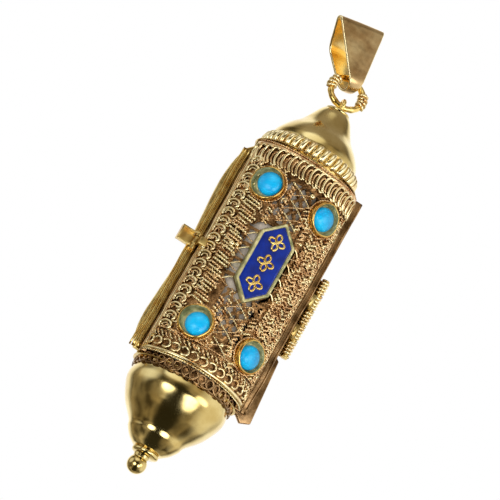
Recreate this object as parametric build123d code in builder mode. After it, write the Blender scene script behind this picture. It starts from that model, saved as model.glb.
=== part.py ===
from build123d import *
import os
from math import atan2, degrees, hypot, sqrt

# Mezuzah case pendant: a gold case with spun domes at both ends, a filigree door on the front
# that swings on a pin hinge, a folding latch, a rolled parchment inside, and a jump ring and
# bail to hang it by.
# Row frame: millimetres, origin at the centre of the hanging eye, +Z up along the case,
# -Y out of the front, +X to the right of someone who looks at the front.

os.makedirs("parts", exist_ok=True)

# ---- driving dimensions ---------------------------------------------------------------------
MIDDLE = -20.8                 # height of the middle of the door below the hanging eye
DOOR_HALF = 12.7               # half the length of the door
END_GAP = 0.15                 # between the door's ends and the end plates
PLATE = 0.15                   # thickness of the end plates
ARCH_HALF = 12.45              # the curved part of the door stops short of its rails' ends

CASE_FACE = -0.85              # Y of the case flanges' front face
DOOR_FACE = -1.0               # Y of the door rails' back face
FLANGE = 0.5                   # thickness of the case flanges
RAIL = 0.55                    # thickness of the door rails
BACK_HALF_WIDTH = 5.9          # outside of the back shell
BACK_DEPTH = 5.85
BACK_WALL = 0.4
DOOR_HALF_WIDTH = 5.8          # outside of the curved door
DOOR_DEPTH = 4.2
DOOR_WALL = 0.5
RIM_HEIGHT = 0.4               # wire rims at the door's two ends
RIM_PROUD = 0.12

FLANGE_INNER = 5.2             # flanges and rails run outwards from here
LEFT_FLANGE_EDGE = -7.1
LEFT_RAIL_EDGE = -6.0
RIGHT_EDGE = 6.7
FLARE_TOP = 7.2                # edge of the case's right flange just below the hinge
FLARE_END = 7.75               # and near its lower end, which hangs below the door
FLARE_LOW = -13.5
HINGE_CLEAR = 0.35

HINGE_X = 7.35
HINGE_Y = (CASE_FACE + DOOR_FACE) / 2
HINGE_MIDDLE = MIDDLE - 0.7
HINGE_LENGTH = 9.0
KNUCKLES = 5
KNUCKLE_GAP = 0.06
KNUCKLE_RADIUS = 0.55
HINGE_PIN_RADIUS = 0.25
RUNNING_GAP = 0.04             # radial, between a pin and what turns on it
PIN_HEAD = 0.18

LATCH_X = -6.5
LATCH_Y = -1.3
LATCH_MIDDLE = MIDDLE - 0.1
LATCH_BARREL = 1.9             # height of the latch's whole barrel
LATCH_RADIUS = 0.35
LATCH_PIN_RADIUS = 0.15
LEAF_LENGTH = 1.9
LEAF_HALF_HEIGHT = 0.8
LEAF_WALL = 0.2
LEAF_LIP = 0.45                # how far the leaf's walls stand in front of the barrel's axis
CATCH_HALF_HEIGHT = 0.4

STONE_RADIUS = 1.25
BEZEL_RADIUS = 1.8
BEZEL_WALL = 0.24
BEZEL_PROUD = 0.5
BEZEL_SUNK = 0.55
STONE_Z = 8.1
# hand-set stones: each cup's X, its side of the middle in Z, and how far the stone lies off the
# middle of its cup, across and up
STONES = {
    "upper_left": (-3.5, 1, 0.18, 0.12),
    "upper_right": (3.2, 1, 0.0, -0.02),
    "lower_left": (-3.0, -1, 0.24, -0.12),
    "lower_right": (3.45, -1, 0.02, -0.1),
}

PLAQUE_MIDDLE = MIDDLE + 0.6
PLAQUE_HALF_WIDTH = 1.98
PLAQUE_HALF_HEIGHT = 4.72
PLAQUE_SHOULDER = 2.8          # half the length of its straight sides
PLAQUE_BACK = -4.85
PLAQUE_FRONT = -5.75
PLAQUE_RIM = 0.4
ENAMEL_FACE = -5.62
ENAMEL = 0.3
ORNAMENT_PITCH = 2.4

EYE_RADIUS = 0.78              # to the middle of its wire
EYE_WIRE = 0.28
NECK_TOP = MIDDLE + 20.1
RING_RADIUS = 1.85             # to the middle of its wire
RING_WIRE = 0.34
RING_LEAN = 20                 # degrees that the ring leans back at rest

BAIL_SLIP = 9                  # degrees round the ring, to the left, where the bail hangs
BAIL_TILT = 14                 # degrees more that it leans to the left
BAIL_TURN = 11                 # degrees that it is turned on the ring
BAIL_FORWARD = 22              # degrees that it stands forward of the ring's plane
BAIL_STRAP = 0.3
BAIL_BOTTOM_WIDTH = 1.0
BAIL_TOP_WIDTH = 5.9
BAIL_DROP = 0.15               # fold's centre below the middle of the ring's wire
# circles that the strap is bent round, seen along the bail: backwards, up and outside radius
BAIL_FOLD = (0, 0, 1.25)
BAIL_BELLY = (0.92, 3.0, 1.4)
BAIL_BEND = (0.3, 5.75, 0.55)

SCROLL_RADIUS = 2.7
SCROLL_CORE = 0.9
SCROLL_LENGTH = 23.5
TIE_HALF_WIDTH = 0.35
TIE_THICKNESS = 0.12

LATTICE_PITCH_X = 1.25
LATTICE_PITCH_Z = 1.5
LATTICE_HOLE = 0.75            # side of one diamond opening
LATTICE_MARGIN = 0.7           # between the openings and the plaque or a bezel

# outlines of the domes: radius and height above the middle of the door
UPPER_OUTLINE = [(4.8, 14.6), (4.58, 15.3), (3.9, 16.35), (2.95, 17.4), (2.38, 18.3), (1.8, 19.35),
                 (1.42, 19.85)]
LOWER_OUTLINE = [(5.3, -13.7), (5.44, -14.5), (5.28, -15.4), (4.45, -17.1), (3.15, -18.7),
                 (2.86, -19.4), (2.25, -20.2), (1.55, -20.75)]
DOME_WALL = 0.35


def at_middle(height):
    return MIDDLE + height


def save(piece, name):
    piece.part.label = name
    export_step(piece.part, f"parts/{name}.step")


# ---- ends of the case -----------------------------------------------------------------------
plate_inner = DOOR_HALF + END_GAP
plate_outer = plate_inner + PLATE
UPPER_SKIRT = 4.8              # radius of each dome's straight skirt
LOWER_SKIRT = 5.3


def end_plate(name, low):
    """Flat oval plate that closes one end of the case and carries its dome."""
    front_depth = DOOR_DEPTH + RIM_PROUD
    with BuildPart() as plate:
        with BuildSketch(Plane.XY.offset(at_middle(low))):
            with Locations((0, CASE_FACE + (BACK_DEPTH - front_depth) / 2)):
                Ellipse(BACK_HALF_WIDTH, (BACK_DEPTH + front_depth) / 2)
        extrude(amount=PLATE)
    save(plate, name)


end_plate("upper_end_plate", plate_inner)
end_plate("lower_end_plate", -plate_outer)


def spun_dome(name, skirt_radius, skirt_height, outline):
    """Sheet spun to an outline, open where it meets its end plate and closed at its tip."""
    tip_radius, tip_height = outline[-1]
    inside = [(radius - DOME_WALL, height) for radius, height in outline]
    with BuildPart() as dome:
        with BuildSketch(Plane.XZ):
            with BuildLine():
                Spline(*[(radius, at_middle(height)) for radius, height in outline])
                Polyline((tip_radius, at_middle(tip_height)), (0, at_middle(tip_height)),
                         (0, at_middle(skirt_height)), (skirt_radius, at_middle(skirt_height)),
                         (outline[0][0], at_middle(outline[0][1])))
            make_face()
            with BuildLine():
                Spline(*[(radius, at_middle(height)) for radius, height in inside[:-1]])
                Polyline((inside[-2][0], at_middle(inside[-2][1])), (0, at_middle(inside[-2][1])),
                         (0, at_middle(skirt_height)),
                         (skirt_radius - DOME_WALL, at_middle(skirt_height)),
                         (inside[0][0], at_middle(inside[0][1])))
            make_face(mode=Mode.SUBTRACT)
        revolve(axis=Axis.Z)
    save(dome, name)


spun_dome("upper_dome", UPPER_SKIRT, plate_outer, UPPER_OUTLINE)
spun_dome("lower_dome", LOWER_SKIRT, -plate_outer, LOWER_OUTLINE)


def trim_band(name, low, high, inner, outer):
    """Band of wirework soldered round a dome's skirt."""
    with BuildPart() as band:
        with BuildSketch(Plane.XY.offset(at_middle(low))):
            Circle(outer)
            Circle(inner, mode=Mode.SUBTRACT)
        extrude(amount=high - low)
        fillet(band.edges().filter_by(GeomType.CIRCLE).group_by(SortBy.RADIUS)[-1], 0.12)
    save(band, name)


trim_band("upper_coil_trim", plate_outer, 14.5, UPPER_SKIRT, 5.2)
trim_band("lower_loop_trim", -13.7, -plate_outer, LOWER_SKIRT, 5.6)

with BuildPart() as neck_collar:
    tip_radius, tip_height = UPPER_OUTLINE[-1]
    with BuildSketch(Plane.XY.offset(at_middle(tip_height))):
        Circle(tip_radius - 0.08)
    extrude(amount=NECK_TOP - at_middle(tip_height))
    fillet(neck_collar.edges().group_by(Axis.Z)[-1], 0.1)
save(neck_collar, "neck_collar")

FINIAL_COLLAR_END = -21.35
FINIAL_STEM = 0.85
BALL_RADIUS = 1.02
BALL_MIDDLE = -22.45
BALL_SHIFT = -0.2              # the ball is soldered a little off the axis
with BuildPart() as finial_collar:
    tip_radius, tip_height = LOWER_OUTLINE[-1]
    with BuildSketch(Plane.XY.offset(at_middle(FINIAL_COLLAR_END))):
        Circle(tip_radius - 0.1)
    extrude(amount=tip_height - FINIAL_COLLAR_END)
    fillet(finial_collar.edges().filter_by(GeomType.CIRCLE), 0.2)
save(finial_collar, "finial_collar")

with BuildPart() as finial_ball:
    with Locations((BALL_SHIFT, 0, at_middle(BALL_MIDDLE))):
        Sphere(BALL_RADIUS)
    with BuildSketch(Plane.XY.offset(at_middle(BALL_MIDDLE))):
        with Locations((BALL_SHIFT, 0)):
            Circle(FINIAL_STEM)
    extrude(amount=FINIAL_COLLAR_END - BALL_MIDDLE)
save(finial_ball, "finial_ball")

# ---- back of the case -----------------------------------------------------------------------
with BuildPart() as back_shell:
    with BuildSketch(Plane.XY.offset(at_middle(-plate_inner))):
        with Locations((0, CASE_FACE)):
            Ellipse(BACK_HALF_WIDTH, BACK_DEPTH)
            Ellipse(BACK_HALF_WIDTH - BACK_WALL, BACK_DEPTH - BACK_WALL, mode=Mode.SUBTRACT)
        with Locations((0, CASE_FACE + FLANGE)):
            Rectangle(4 * BACK_HALF_WIDTH, 4 * BACK_DEPTH, align=(Align.CENTER, Align.MAX),
                      mode=Mode.SUBTRACT)
    extrude(amount=2 * plate_inner)
save(back_shell, "back_shell")

FLANGE_TAPER = 0.6             # the left flange narrows this much towards its ends
LEFT_FLANGE_TOP = 11.3         # it ends short of the door's upper corner
with BuildPart() as left_flange:
    with BuildSketch(Plane.XZ.offset(-CASE_FACE)):
        with BuildLine():
            Polyline((LEFT_FLANGE_EDGE + FLANGE_TAPER, at_middle(LEFT_FLANGE_TOP)),
                     (-FLANGE_INNER, at_middle(DOOR_HALF)), (-FLANGE_INNER, at_middle(-DOOR_HALF)),
                     (LEFT_FLANGE_EDGE + FLANGE_TAPER, at_middle(-DOOR_HALF)))
            Spline((LEFT_FLANGE_EDGE + FLANGE_TAPER, at_middle(-DOOR_HALF)),
                   (LEFT_FLANGE_EDGE + 0.1, at_middle(-11.4)), (LEFT_FLANGE_EDGE, at_middle(-6)),
                   (LEFT_FLANGE_EDGE + 0.1, at_middle(2)), (LEFT_FLANGE_EDGE + 0.2, at_middle(10)),
                   (LEFT_FLANGE_EDGE + FLANGE_TAPER, at_middle(LEFT_FLANGE_TOP)))
        make_face()
    extrude(amount=-FLANGE)
save(left_flange, "left_flange")

knuckle_pitch = HINGE_LENGTH / KNUCKLES
hinge_bottom = HINGE_MIDDLE - HINGE_LENGTH / 2
with BuildPart() as right_flange:
    with BuildSketch(Plane.XZ.offset(-CASE_FACE)):
        with BuildLine():
            Polyline((FLANGE_INNER, at_middle(DOOR_HALF)), (RIGHT_EDGE, at_middle(DOOR_HALF)),
                     (RIGHT_EDGE, hinge_bottom - HINGE_CLEAR),
                     (FLARE_TOP, hinge_bottom - 2 * HINGE_CLEAR),
                     (FLARE_END, at_middle(-plate_outer)), (RIGHT_EDGE, at_middle(FLARE_LOW)),
                     (BACK_HALF_WIDTH + END_GAP, at_middle(-plate_outer)),
                     (FLANGE_INNER, at_middle(-DOOR_HALF)), close=True)
        make_face()
    extrude(amount=-FLANGE)
save(right_flange, "right_flange")

# ---- parchment ------------------------------------------------------------------------------
scroll_bottom = at_middle(-plate_inner)
with BuildPart() as parchment_scroll:
    with BuildSketch(Plane.XY.offset(scroll_bottom)):
        Circle(SCROLL_RADIUS)
        Circle(SCROLL_CORE, mode=Mode.SUBTRACT)
    extrude(amount=SCROLL_LENGTH)
save(parchment_scroll, "parchment_scroll")

with BuildPart() as scroll_tie:
    with BuildSketch(Plane.XY.offset(MIDDLE - TIE_HALF_WIDTH)):
        Circle(SCROLL_RADIUS + TIE_THICKNESS)
        Circle(SCROLL_RADIUS, mode=Mode.SUBTRACT)
    extrude(amount=2 * TIE_HALF_WIDTH)
save(scroll_tie, "scroll_tie")

# ---- hinge ----------------------------------------------------------------------------------
def hinge_knuckles(name, indices, bore, leaf_front, leaf_back):
    """Barrels on the hinge line, each with a leaf that reaches the edge of its plate."""
    with BuildPart() as knuckles:
        for index in indices:
            low = hinge_bottom + index * knuckle_pitch + KNUCKLE_GAP / 2
            with BuildSketch(Plane.XY.offset(low)):
                with Locations((HINGE_X, HINGE_Y)):
                    Circle(KNUCKLE_RADIUS)
                with Locations(((RIGHT_EDGE + HINGE_X) / 2, (leaf_front + leaf_back) / 2)):
                    Rectangle(HINGE_X - RIGHT_EDGE, leaf_back - leaf_front)
                with Locations((HINGE_X, HINGE_Y)):
                    Circle(bore, mode=Mode.SUBTRACT)
            extrude(amount=knuckle_pitch - KNUCKLE_GAP)
    save(knuckles, name)


hinge_knuckles("case_knuckles", range(0, KNUCKLES, 2), HINGE_PIN_RADIUS,
               CASE_FACE, CASE_FACE + 0.45)
hinge_knuckles("door_knuckles", range(1, KNUCKLES, 2), HINGE_PIN_RADIUS + RUNNING_GAP,
               DOOR_FACE - 0.45, DOOR_FACE)

with BuildPart() as hinge_pin:
    with BuildSketch(Plane.XY.offset(hinge_bottom)):
        with Locations((HINGE_X, HINGE_Y)):
            Circle(HINGE_PIN_RADIUS)
    extrude(amount=HINGE_LENGTH)
    for head_low in (hinge_bottom + KNUCKLE_GAP / 2 - PIN_HEAD,
                     hinge_bottom + HINGE_LENGTH - KNUCKLE_GAP / 2):
        with BuildSketch(Plane.XY.offset(head_low)):
            with Locations((HINGE_X, HINGE_Y)):
                Circle(HINGE_PIN_RADIUS + 0.15)
        extrude(amount=PIN_HEAD)
save(hinge_pin, "hinge_pin")

# ---- door frame -----------------------------------------------------------------------------
rail_front = DOOR_FACE - RAIL


def door_rail(name, low_x, high_x, top):
    with BuildPart() as rail:
        with BuildSketch(Plane.XZ.offset(-rail_front)):
            with Locations((low_x, at_middle(-DOOR_HALF))):
                Rectangle(high_x - low_x, DOOR_HALF + top, align=(Align.MIN, Align.MIN))
        extrude(amount=-RAIL)
        fillet(rail.edges().filter_by(Axis.Z).group_by(Axis.Y)[0], 0.12)
    save(rail, name)


door_rail("door_left_rail", LEFT_RAIL_EDGE, -FLANGE_INNER, LEFT_FLANGE_TOP)
door_rail("door_right_rail", FLANGE_INNER, RIGHT_EDGE, DOOR_HALF)


def door_arch(proud):
    """Half-elliptical arch of the door's section, standing on the front of the rails."""
    with BuildSketch(mode=Mode.PRIVATE) as arch:
        with Locations((0, DOOR_FACE)):
            Ellipse(DOOR_HALF_WIDTH + proud, DOOR_DEPTH + proud)
            Ellipse(DOOR_HALF_WIDTH - DOOR_WALL, DOOR_DEPTH - DOOR_WALL, mode=Mode.SUBTRACT)
        with Locations((0, rail_front)):
            Rectangle(4 * DOOR_HALF_WIDTH, 4 * DOOR_DEPTH, align=(Align.CENTER, Align.MIN),
                      mode=Mode.SUBTRACT)
    return arch.sketch_local


def door_rim(name, low):
    with BuildPart() as rim:
        with BuildSketch(Plane.XY.offset(at_middle(low))):
            add(door_arch(RIM_PROUD))
        extrude(amount=RIM_HEIGHT)
    save(rim, name)


door_rim("door_top_rim", ARCH_HALF - RIM_HEIGHT)
door_rim("door_bottom_rim", -ARCH_HALF)


def stone_seat(x, level):
    """Plane on the door's surface where a stone is set, its normal pointing outwards."""
    surface_y = DOOR_FACE - DOOR_DEPTH * sqrt(1 - (x / DOOR_HALF_WIDTH)**2)
    normal = Vector(x / DOOR_HALF_WIDTH**2, (surface_y - DOOR_FACE) / DOOR_DEPTH**2, 0)
    across = Vector(0, 0, 1).cross(normal.normalized())
    return Plane(origin=(x, surface_y, at_middle(level * STONE_Z)), x_dir=across, z_dir=normal)


def plaque_outline(shrink):
    """Long hexagon, pointed at top and bottom, drawn with a margin inside the plaque's edge."""
    half_width = PLAQUE_HALF_WIDTH - shrink
    point = PLAQUE_HALF_HEIGHT - 1.25 * shrink
    shoulder = PLAQUE_SHOULDER - 0.35 * shrink
    return [(0, point), (half_width, shoulder), (half_width, -shoulder), (0, -point),
            (-half_width, -shoulder), (-half_width, shoulder)]


def is_open_field(x, z):
    """Whether a lattice opening at this place on the front is clear of the plaque and bezels."""
    from_plaque = max(abs(x) - PLAQUE_HALF_WIDTH, abs(z - PLAQUE_MIDDLE + MIDDLE) - PLAQUE_HALF_HEIGHT)
    from_stones = [hypot(x - stone_x, z - level * STONE_Z) - BEZEL_RADIUS
                   for stone_x, level, _, _ in STONES.values()]
    return min(from_plaque, *from_stones) > LATTICE_MARGIN


lattice = [(column * LATTICE_PITCH_X, row * LATTICE_PITCH_Z)
           for column in range(-3, 4) for row in range(-7, 8)]

with BuildPart() as door_filigree:
    shell_half = ARCH_HALF - RIM_HEIGHT
    with BuildSketch(Plane.XY.offset(at_middle(-shell_half))):
        add(door_arch(0))
    extrude(amount=2 * shell_half)
    # the open wirework, as rows of diamond openings that run straight through the front
    with BuildSketch(Plane.XZ.offset(-DOOR_FACE)):
        with Locations(*[(x, at_middle(z)) for x, z in lattice if is_open_field(x, z)]):
            Rectangle(LATTICE_HOLE, LATTICE_HOLE, rotation=45)
    extrude(amount=2 * DOOR_DEPTH, mode=Mode.SUBTRACT)
    # seats for the plaque and the four bezels
    with BuildSketch(Plane.XZ.offset(-DOOR_FACE)):
        with Locations((0, PLAQUE_MIDDLE)):
            Polygon(*plaque_outline(0), align=None)
    extrude(amount=2 * DOOR_DEPTH, mode=Mode.SUBTRACT)
    for stone_x, level, _, _ in STONES.values():
        with BuildSketch(stone_seat(stone_x, level).offset(-2 * BEZEL_SUNK)):
            Circle(BEZEL_RADIUS)
        extrude(amount=4 * BEZEL_SUNK, mode=Mode.SUBTRACT)
save(door_filigree, "door_filigree")

# ---- stones ---------------------------------------------------------------------------------
STONE_GIRDLE = 0.35
STONE_CROWN = 0.75
for place, (stone_x, level, across, up) in STONES.items():
    seat = stone_seat(stone_x, level)
    with BuildPart() as bezel:
        with BuildSketch(seat.offset(-BEZEL_SUNK)):
            Circle(BEZEL_RADIUS)
        extrude(amount=BEZEL_SUNK + BEZEL_PROUD)
        with BuildSketch(seat.offset(-BEZEL_SUNK + BEZEL_WALL)):
            Circle(BEZEL_RADIUS - BEZEL_WALL)
        extrude(amount=BEZEL_SUNK + BEZEL_PROUD, mode=Mode.SUBTRACT)
    save(bezel, f"bezel_{place}")

    base = seat.offset(-BEZEL_SUNK + BEZEL_WALL)
    stone_at = base.origin + base.x_dir * across + base.y_dir * up
    profile = Plane(origin=stone_at, x_dir=base.x_dir, z_dir=-base.y_dir)
    with BuildPart() as stone:
        with BuildSketch(profile):
            with BuildLine():
                Polyline((0, STONE_GIRDLE + STONE_CROWN), (0, 0), (STONE_RADIUS, 0),
                         (STONE_RADIUS, STONE_GIRDLE))
                Spline((STONE_RADIUS, STONE_GIRDLE), (0, STONE_GIRDLE + STONE_CROWN),
                       tangents=((0, 1), (-1, 0)))
            make_face()
        revolve(axis=Axis(stone_at, base.z_dir))
    save(stone, f"turquoise_{place}")

# ---- plaque ---------------------------------------------------------------------------------
with BuildPart() as plaque_tray:
    with BuildSketch(Plane.XZ.offset(-PLAQUE_BACK)):
        with Locations((0, PLAQUE_MIDDLE)):
            Polygon(*plaque_outline(0), align=None)
    extrude(amount=PLAQUE_BACK - PLAQUE_FRONT)
    with BuildSketch(Plane.XZ.offset(-ENAMEL_FACE - ENAMEL)):
        with Locations((0, PLAQUE_MIDDLE)):
            Polygon(*plaque_outline(PLAQUE_RIM), align=None)
    extrude(amount=1, mode=Mode.SUBTRACT)
save(plaque_tray, "plaque_tray")

with BuildPart() as plaque_enamel:
    with BuildSketch(Plane.XZ.offset(-ENAMEL_FACE - ENAMEL)):
        with Locations((0, PLAQUE_MIDDLE)):
            Polygon(*plaque_outline(PLAQUE_RIM), align=None)
    extrude(amount=ENAMEL)
save(plaque_enamel, "plaque_enamel")

ORNAMENT_HEIGHT = PLAQUE_FRONT - ENAMEL_FACE
PETAL = 0.42
for row, place in enumerate(("top", "middle", "bottom")):
    with BuildPart() as ornament:
        with BuildSketch(Plane.XZ.offset(-ENAMEL_FACE)):
            with Locations((0, PLAQUE_MIDDLE + (1 - row) * ORNAMENT_PITCH)):
                with PolarLocations(PETAL, 4):
                    Circle(PETAL)
                Circle(PETAL / 2, mode=Mode.SUBTRACT)
        extrude(amount=-ORNAMENT_HEIGHT)
    save(ornament, f"plaque_ornament_{place}")

# ---- latch ----------------------------------------------------------------------------------
lug_height = 0.45
leaf_barrel = LATCH_BARREL - 2 * lug_height - 2 * KNUCKLE_GAP
latch_bottom = LATCH_MIDDLE - LATCH_BARREL / 2

with BuildPart() as latch_lugs:
    for low in (latch_bottom, latch_bottom + LATCH_BARREL - lug_height):
        with BuildSketch(Plane.XY.offset(low)):
            with Locations((LATCH_X, LATCH_Y)):
                Circle(LATCH_RADIUS)
            with Locations((LATCH_X, (LATCH_Y + CASE_FACE) / 2)):
                Rectangle(2 * LATCH_RADIUS, CASE_FACE - LATCH_Y)
            with Locations((LATCH_X, LATCH_Y)):
                Circle(LATCH_PIN_RADIUS, mode=Mode.SUBTRACT)
        extrude(amount=lug_height)
save(latch_lugs, "latch_lugs")

with BuildPart() as latch_pin:
    with BuildSketch(Plane.XY.offset(latch_bottom)):
        with Locations((LATCH_X, LATCH_Y)):
            Circle(LATCH_PIN_RADIUS)
    extrude(amount=LATCH_BARREL)
save(latch_pin, "latch_pin")

LEAF_BACK = 0.32               # back of the leaf's floor, behind the barrel's axis
LEAF_ROOT = 0.25
with BuildPart() as latch_leaf:
    with BuildSketch(Plane.XY.offset(LATCH_MIDDLE - leaf_barrel / 2)):
        with Locations((LATCH_X, LATCH_Y)):
            Circle(LATCH_RADIUS)
    extrude(amount=leaf_barrel)
    with BuildSketch(Plane.XY.offset(LATCH_MIDDLE - LEAF_HALF_HEIGHT)):
        with Locations((LATCH_X - LEAF_LENGTH, LATCH_Y - LEAF_LIP)):
            Rectangle(LEAF_LENGTH - LATCH_RADIUS - KNUCKLE_GAP, LEAF_LIP + LEAF_BACK,
                      align=(Align.MIN, Align.MIN))
    extrude(amount=2 * LEAF_HALF_HEIGHT)
    # hollow of the tray, open to the front
    with BuildSketch(Plane.XY.offset(LATCH_MIDDLE - LEAF_HALF_HEIGHT + LEAF_WALL)):
        with Locations((LATCH_X - LEAF_LENGTH + LEAF_WALL, LATCH_Y - LEAF_LIP)):
            Rectangle(LEAF_LENGTH - LEAF_WALL, LEAF_LIP + LEAF_BACK - LEAF_WALL,
                      align=(Align.MIN, Align.MIN))
    extrude(amount=2 * (LEAF_HALF_HEIGHT - LEAF_WALL), mode=Mode.SUBTRACT)
    # floor of the tray carried on to the barrel, and the barrel itself again
    with BuildSketch(Plane.XY.offset(LATCH_MIDDLE - leaf_barrel / 2)):
        with Locations((LATCH_X - LEAF_LENGTH + LEAF_WALL, LATCH_Y + LEAF_BACK - LEAF_WALL)):
            Rectangle(LEAF_LENGTH - LEAF_WALL - LEAF_ROOT, LEAF_WALL, align=(Align.MIN, Align.MIN))
        with Locations((LATCH_X, LATCH_Y)):
            Circle(LATCH_RADIUS)
    extrude(amount=leaf_barrel)
    with BuildSketch(Plane.XY.offset(LATCH_MIDDLE - LATCH_BARREL)):
        with Locations((LATCH_X, LATCH_Y)):
            Circle(LATCH_PIN_RADIUS + RUNNING_GAP)
    extrude(amount=2 * LATCH_BARREL, mode=Mode.SUBTRACT)
save(latch_leaf, "latch_leaf")

# tongue on the door that the closed latch hooks over
CATCH_TIP = -6.4
CATCH_FRONT = -2.7
with BuildPart() as door_catch:
    with BuildSketch(Plane.XY.offset(LATCH_MIDDLE - CATCH_HALF_HEIGHT)):
        with BuildLine():
            Polyline((LEFT_RAIL_EDGE + 0.12, rail_front), (CATCH_TIP, -1.85),
                     (CATCH_TIP, CATCH_FRONT), (-5.6, CATCH_FRONT), (-5.6, rail_front), close=True)
        make_face()
        with Locations((0, DOOR_FACE)):
            Ellipse(DOOR_HALF_WIDTH, DOOR_DEPTH, mode=Mode.SUBTRACT)
    extrude(amount=2 * CATCH_HALF_HEIGHT)
save(door_catch, "door_catch")

# ---- hanging eye, jump ring and bail --------------------------------------------------------
with BuildPart() as hang_eye:
    with BuildSketch(Plane.XZ):
        with Locations((0, EYE_RADIUS)):
            Circle(EYE_WIRE)
    revolve(axis=Axis.X)
    split(bisect_by=Plane.XY.offset(NECK_TOP), keep=Keep.TOP)
save(hang_eye, "hang_eye")

ring_up = Vector(0, 0, 1).rotate(Axis.X, -RING_LEAN)
ring_normal = Vector(1, 0, 0).cross(ring_up)
with BuildPart(Plane(origin=ring_up * RING_RADIUS, x_dir=(1, 0, 0), z_dir=ring_normal)) as jump_ring:
    Torus(RING_RADIUS, RING_WIRE)
save(jump_ring, "jump_ring")

ring_axis = Axis((0, 0, 0), ring_normal)
wire_point = (ring_up + ring_up.rotate(ring_axis, BAIL_SLIP)) * RING_RADIUS
bail_up = ring_up.rotate(ring_axis, BAIL_SLIP + BAIL_TILT)
bail_line = Vector(1, 0, 0).rotate(ring_axis, BAIL_SLIP + BAIL_TILT)
bail_line = bail_line.rotate(Axis((0, 0, 0), bail_up), BAIL_TURN)
bail_up = bail_up.rotate(Axis((0, 0, 0), bail_line), BAIL_FORWARD)
fold_centre = wire_point - bail_up * BAIL_DROP

bail_low = BAIL_FOLD[1] - BAIL_FOLD[2]
bail_height = BAIL_BEND[1] + BAIL_BEND[2] - bail_low
bail_taper = degrees(atan2(bail_height, (BAIL_TOP_WIDTH - BAIL_BOTTOM_WIDTH) / 2))
bail_side = Plane(origin=fold_centre, x_dir=bail_up.cross(bail_line), z_dir=bail_line)
bail_face = Plane(origin=fold_centre, x_dir=bail_line, z_dir=bail_line.cross(bail_up))
with BuildPart() as bail:
    with BuildSketch(bail_side):
        for back, level, radius in (BAIL_FOLD, BAIL_BELLY, BAIL_BEND):
            with Locations((back, level)):
                Circle(radius)
        make_hull()
        offset(amount=-BAIL_STRAP, mode=Mode.SUBTRACT)
    extrude(amount=BAIL_TOP_WIDTH / 2, both=True)
    with BuildSketch(bail_face):
        with Locations((0, bail_low + bail_height / 2)):
            Trapezoid(BAIL_TOP_WIDTH, bail_height, bail_taper, rotation=180)
    extrude(amount=2 * bail_height, both=True, mode=Mode.INTERSECT)
save(bail, "bail")
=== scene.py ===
import math

import bmesh
import bpy
import numpy as np
from mathutils import Matrix, Vector


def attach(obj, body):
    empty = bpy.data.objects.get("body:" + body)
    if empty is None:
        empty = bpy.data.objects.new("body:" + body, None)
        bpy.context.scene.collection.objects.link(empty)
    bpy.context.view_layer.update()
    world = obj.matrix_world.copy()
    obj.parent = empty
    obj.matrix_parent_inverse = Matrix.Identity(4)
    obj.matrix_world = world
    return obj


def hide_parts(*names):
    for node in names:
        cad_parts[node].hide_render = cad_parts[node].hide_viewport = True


# Looks of the mezuzah case pendant: twisted-wire filigree on the door, spun and polished domes
# with coiled trims, hand-made bezels, enamel, parchment, and a studio of soft white panels.
# Shapes are worked out in millimetres in the row frame; add_mesh() scales them to metres.

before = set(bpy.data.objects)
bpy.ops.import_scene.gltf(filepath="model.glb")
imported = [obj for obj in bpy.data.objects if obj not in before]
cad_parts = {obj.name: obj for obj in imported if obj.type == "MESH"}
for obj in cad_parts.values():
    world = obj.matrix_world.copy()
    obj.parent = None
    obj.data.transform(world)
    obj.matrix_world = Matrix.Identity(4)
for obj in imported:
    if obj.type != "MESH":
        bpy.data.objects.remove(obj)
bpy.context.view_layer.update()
MM = 0.001
rng = np.random.default_rng(613)

# ---- sizes shared with the CAD --------------------------------------------------------------
MIDDLE = -20.8                 # height of the middle of the door
DOOR_FACE = -1.0               # the door's section is half an ellipse centred on this Y
DOOR_HALF_WIDTH = 5.8
DOOR_DEPTH = 4.2
RAIL_FRONT = -1.55
PLAQUE_HALF_WIDTH = 1.98
STONE_LEVEL = 8.1
STONE_X = {"upper_left": (-3.5, 1), "upper_right": (3.2, 1),
           "lower_left": (-3.0, -1), "lower_right": (3.45, -1)}
BEZEL_RADIUS = 1.8
PLAQUE_MIDDLE, PLAQUE_POINT, PLAQUE_SHOULDER = 0.6, 4.72, 2.8
ORNAMENT_Y = -5.68             # middle of the wire of the plaque's ornaments
SKIRT_END = 13.0
HINGE_X, HINGE_Y, HINGE_MIDDLE, HINGE_LENGTH = 7.35, -0.925, -21.5, 9.0

# ---- materials ------------------------------------------------------------------------------
def srgb(red, green, blue):
    """Linear colour of an 8-bit screen colour."""
    return tuple(((c / 255 + 0.055) / 1.055) ** 2.4 if c > 10 else c / 255 / 12.92
                 for c in (red, green, blue)) + (1.0,)


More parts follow.
